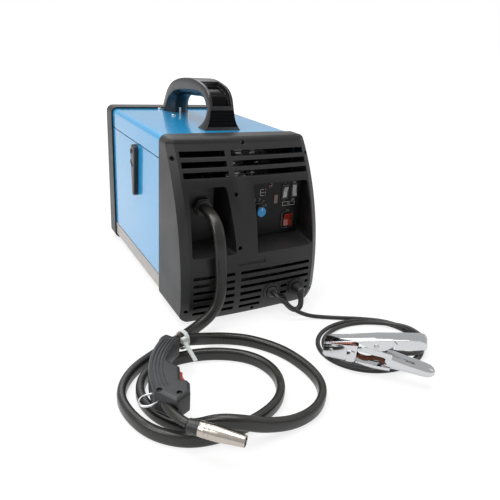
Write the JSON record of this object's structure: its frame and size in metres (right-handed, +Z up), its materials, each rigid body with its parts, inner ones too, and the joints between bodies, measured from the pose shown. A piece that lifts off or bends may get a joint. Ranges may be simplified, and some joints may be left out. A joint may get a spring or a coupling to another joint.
{
  "type": "portable mig welder",
  "caption": "Compact portable wire-feed welder in a sheet-metal case with moulded bezels, carry handle, side door, torch on its hose and an earth clamp on its cable.",
  "frame": {"origin": "on the floor under the middle of the cabinet", "axes": "controls face -Y, cabinet length along Y, hinged door on -X, +Z up"},
  "size_m": [0.4691, 0.7083, 0.3433],
  "materials": {
    "bezel_plastic": "textured dark grey moulded plastic",
    "black_plastic": "black moulded plastic",
    "grey_paint": "light grey powder coat",
    "blue_paint": "glossy sky blue enamel",
    "zinc": "zinc plated steel",
    "chrome": "bright plated steel",
    "aluminium": "plain aluminium",
    "copper": "copper",
    "brass": "plain brass",
    "rubber": "black rubber",
    "white_plastic": "white nylon",
    "grey_plastic": "light grey plastic",
    "red_plastic": "red plastic",
    "red_lens": "red translucent lens",
    "iron": "varnished core steel",
    "board": "green circuit board",
    "steel_wire": "copper coated wire"
  },
  "bodies": {
    "cabinet": {"base_pan": "grey_paint", "bezel_screws": "zinc", "cable_plugs": "rubber", "cable_tie": "white_plastic", "carry_handle": "bezel_plastic", "changeover_lead": "rubber", "clamp_jaw_lower": "copper", "clamp_lower_arm": "chrome", "clamp_pins": "zinc", "clamp_spring": "zinc", "contact_tip": "copper", "control_board": "board", "control_plate": "black_plastic", "cover": "blue_paint", "divider_wall": "zinc", "earth_cable": "rubber", "earth_cable_tail": "rubber", "earth_coil": "rubber", "fan_frame": "black_plastic", "feeder_plate": "aluminium", "front_bezel": "bezel_plastic", "gas_nozzle": "chrome", "gas_valve": "brass", "gear_motor": "zinc", "hinge_rod": "zinc", "indicator_lamp": "red_lens", "mains_gland": "black_plastic", "neck_collar": "black_plastic", "output_choke": "iron", "output_sockets": "black_plastic", "rear_bezel": "bezel_plastic", "rectifier": "aluminium", "rubber_feet": "rubber", "spool_spindle": "grey_plastic", "switch_housings": "black_plastic", "top_screws": "chrome", "torch_gland": "brass", "torch_grip_lower": "black_plastic", "torch_grip_upper": "black_plastic", "torch_hook": "chrome", "torch_hose": "rubber", "torch_neck": "brass", "transformer_coils": "copper", "transformer_core": "iron"},
    "door": {"door_panel": "blue_paint"},
    "latch": {"door_latch": "black_plastic"},
    "speed_dial": {"speed_knob": "black_plastic"},
    "selector_a": {"selector_rocker_1": "grey_plastic"},
    "selector_b": {"selector_rocker_2": "grey_plastic"},
    "power_switch": {"power_rocker": "red_lens"},
    "trigger": {"torch_trigger": "red_plastic"},
    "clamp_arm": {"clamp_upper_arm": "zinc", "clamp_jaw_upper": "copper"},
    "spool": {"wire_spool": "black_plastic", "wire_coil": "steel_wire"},
    "drive": {"drive_roll": "chrome"},
    "tension_arm": {"pressure_arm": "black_plastic"},
    "idler": {"pressure_roll": "chrome"},
    "tension_screw": {"tension_knob": "red_plastic"},
    "fan": {"fan_rotor": "black_plastic"}
  },
  "joints": [
    {"name": "door_swing", "type": "hinge", "parent": "cabinet", "child": "door", "pos_m": [-0.1131, 0, 0.0445], "axis": [0, -1, 0], "range_deg": [0, 95]},
    {"name": "latch_turn", "type": "hinge", "parent": "door", "child": "latch", "pos_m": [-0.12, 0.019, 0.222], "axis": [1, 0, 0], "range_deg": [0, 90]},
    {"name": "speed_turn", "type": "hinge", "parent": "cabinet", "child": "speed_dial", "pos_m": [0.0225, -0.16, 0.162], "axis": [0, 1, 0], "range_deg": [0, 270]},
    {"name": "selector_a_rock", "type": "hinge", "parent": "cabinet", "child": "selector_a", "pos_m": [0.073, -0.16, 0.187], "axis": [-1, 0, 0], "range_deg": [0, 20]},
    {"name": "selector_b_rock", "type": "hinge", "parent": "cabinet", "child": "selector_b", "pos_m": [0.0905, -0.16, 0.188], "axis": [1, 0, 0], "range_deg": [0, 20]},
    {"name": "power_rock", "type": "hinge", "parent": "cabinet", "child": "power_switch", "pos_m": [0.082, -0.16, 0.1395], "axis": [-1, 0, 0], "range_deg": [0, 20]},
    {"name": "trigger_pull", "type": "hinge", "parent": "cabinet", "child": "trigger", "pos_m": [-0.18367, -0.35443, 0.0343], "axis": [0, 0, -1], "range_deg": [0, 7], "stiffness_Nm_per_rad": 0.3},
    {"name": "clamp_open", "type": "hinge", "parent": "cabinet", "child": "clamp_arm", "pos_m": [0.08269, -0.40938, 0.0384], "axis": [0.745, 0.667, 0], "range_deg": [0, 15], "stiffness_Nm_per_rad": 2},
    {"name": "spool_turn", "type": "hinge", "parent": "cabinet", "child": "spool", "pos_m": [-0.075, 0.062, 0.14], "axis": [1, 0, 0], "continuous": true},
    {"name": "drive_turn", "type": "hinge", "parent": "cabinet", "child": "drive", "pos_m": [-0.034, -0.07, 0.15], "axis": [1, 0, 0], "continuous": true},
    {"name": "arm_lift", "type": "hinge", "parent": "cabinet", "child": "tension_arm", "pos_m": [-0.034, -0.046, 0.1808], "axis": [-1, 0, 0], "range_deg": [0, 60]},
    {"name": "idler_turn", "type": "hinge", "parent": "tension_arm", "child": "idler", "pos_m": [-0.034, -0.07, 0.1768], "axis": [1, 0, 0], "continuous": true},
    {"name": "tension_turn", "type": "hinge", "parent": "tension_arm", "child": "tension_screw", "pos_m": [-0.034, -0.094, 0.19], "axis": [0, 0, 1], "range_deg": [0, 720]},
    {"name": "fan_turn", "type": "hinge", "parent": "cabinet", "child": "fan", "pos_m": [0.048, 0.185, 0.14], "axis": [0, 1, 0], "continuous": true}
  ],
  "couplings": [
    {"joint": "idler_turn", "follows": "drive_turn", "ratio": -1.3636}
  ]
}
